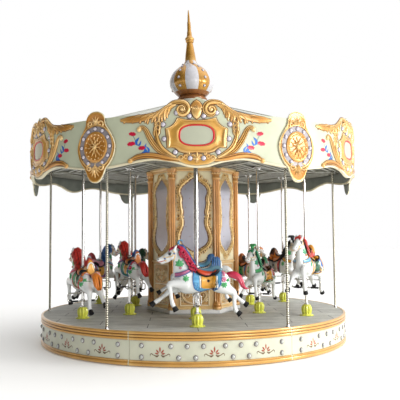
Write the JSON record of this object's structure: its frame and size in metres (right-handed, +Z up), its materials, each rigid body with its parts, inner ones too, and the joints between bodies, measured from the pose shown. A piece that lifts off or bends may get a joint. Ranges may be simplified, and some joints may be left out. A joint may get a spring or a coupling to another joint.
{
  "type": "fairground carousel",
  "caption": "Round fairground carousel with galloping horses on sliding poles, a turning platform with a lit skirt, a gilt canopy and an onion dome.",
  "frame": {"origin": "on the ground under the middle of the platform", "axes": "+Z up, -Y towards the front of the picture, +X to the right of the picture"},
  "size_m": [4.88, 4.856, 5.0703],
  "materials": {
    "base_steel": "matt",
    "deck_board": "matt grey paint",
    "guide_paint": "gloss",
    "skirt_paint": "satin",
    "rope_steel": "polished",
    "housing_paint": "satin",
    "ceiling_paint": "matt",
    "fascia_paint": "satin",
    "gilt_paint": "satin gold",
    "roof_paint": "matt",
    "dome_paint": "satin",
    "horse_paint": "gloss"
  },
  "bodies": {
    "base": {"base_frame": "base_steel"},
    "rotor": {"platform_deck": "deck_board", "floor_guide_outer_1": "guide_paint", "floor_guide_outer_2": "guide_paint", "floor_guide_outer_3": "guide_paint", "floor_guide_outer_4": "guide_paint", "floor_guide_outer_5": "guide_paint", "floor_guide_outer_6": "guide_paint", "floor_guide_inner_1": "guide_paint", "floor_guide_inner_2": "guide_paint", "floor_guide_inner_3": "guide_paint", "floor_guide_inner_4": "guide_paint", "floor_guide_inner_5": "guide_paint", "floor_guide_inner_6": "guide_paint", "skirt_panel_1": "skirt_paint", "skirt_panel_2": "skirt_paint", "skirt_panel_3": "skirt_paint", "skirt_panel_4": "skirt_paint", "skirt_panel_5": "skirt_paint", "skirt_panel_6": "skirt_paint", "skirt_panel_7": "skirt_paint", "rim_pole_1": "rope_steel", "rim_pole_2": "rope_steel", "rim_pole_3": "rope_steel", "rim_pole_4": "rope_steel", "rim_pole_5": "rope_steel", "rim_pole_6": "rope_steel", "centre_housing": "housing_paint", "canopy_ceiling": "ceiling_paint", "roof_mast": "base_steel", "fascia_panel_1": "fascia_paint", "fascia_panel_2": "fascia_paint", "fascia_panel_3": "fascia_paint", "fascia_panel_4": "fascia_paint", "fascia_panel_5": "fascia_paint", "fascia_panel_6": "fascia_paint", "fascia_medallion_1": "gilt_paint", "fascia_medallion_2": "gilt_paint", "fascia_medallion_3": "gilt_paint", "fascia_medallion_4": "gilt_paint", "fascia_medallion_5": "gilt_paint", "fascia_medallion_6": "gilt_paint", "canopy_roof": "roof_paint", "dome": "dome_paint", "spire": "gilt_paint"},
    "horse_outer_1": {"horse_outer_1": "horse_paint"},
    "horse_outer_2": {"horse_outer_2": "horse_paint"},
    "horse_outer_3": {"horse_outer_3": "horse_paint"},
    "horse_outer_4": {"horse_outer_4": "horse_paint"},
    "horse_outer_5": {"horse_outer_5": "horse_paint"},
    "horse_outer_6": {"horse_outer_6": "horse_paint"},
    "horse_inner_1": {"horse_inner_1": "horse_paint"},
    "horse_inner_2": {"horse_inner_2": "horse_paint"},
    "horse_inner_3": {"horse_inner_3": "horse_paint"},
    "horse_inner_4": {"horse_inner_4": "horse_paint"},
    "horse_inner_5": {"horse_inner_5": "horse_paint"},
    "horse_inner_6": {"horse_inner_6": "horse_paint"}
  },
  "joints": [
    {"name": "carousel_spin", "type": "hinge", "parent": "base", "child": "rotor", "pos_m": [0, 0, 0.34], "axis": [0, 0, 1], "continuous": true},
    {"name": "horse_outer_1_slide", "type": "slide", "parent": "rotor", "child": "horse_outer_1", "axis": [0, 0, 1], "range_m": [-0.08, 0.16]},
    {"name": "horse_outer_2_slide", "type": "slide", "parent": "rotor", "child": "horse_outer_2", "axis": [0, 0, 1], "range_m": [-0.2, 0.04]},
    {"name": "horse_outer_3_slide", "type": "slide", "parent": "rotor", "child": "horse_outer_3", "axis": [0, 0, 1], "range_m": [-0.13, 0.11]},
    {"name": "horse_outer_4_slide", "type": "slide", "parent": "rotor", "child": "horse_outer_4", "axis": [0, 0, 1], "range_m": [-0.1, 0.14]},
    {"name": "horse_outer_5_slide", "type": "slide", "parent": "rotor", "child": "horse_outer_5", "axis": [0, 0, 1], "range_m": [-0.08, 0.16]},
    {"name": "horse_outer_6_slide", "type": "slide", "parent": "rotor", "child": "horse_outer_6", "axis": [0, 0, 1], "range_m": [-0.05, 0.19]},
    {"name": "horse_inner_1_slide", "type": "slide", "parent": "rotor", "child": "horse_inner_1", "axis": [0, 0, 1], "range_m": [-0.13, 0.11]},
    {"name": "horse_inner_2_slide", "type": "slide", "parent": "rotor", "child": "horse_inner_2", "axis": [0, 0, 1], "range_m": [-0.06, 0.18]},
    {"name": "horse_inner_3_slide", "type": "slide", "parent": "rotor", "child": "horse_inner_3", "axis": [0, 0, 1], "range_m": [-0.08, 0.16]},
    {"name": "horse_inner_4_slide", "type": "slide", "parent": "rotor", "child": "horse_inner_4", "axis": [0, 0, 1], "range_m": [-0.16, 0.08]},
    {"name": "horse_inner_5_slide", "type": "slide", "parent": "rotor", "child": "horse_inner_5", "axis": [0, 0, 1], "range_m": [-0.05, 0.19]},
    {"name": "horse_inner_6_slide", "type": "slide", "parent": "rotor", "child": "horse_inner_6", "axis": [0, 0, 1], "range_m": [-0.18, 0.06]}
  ]
}
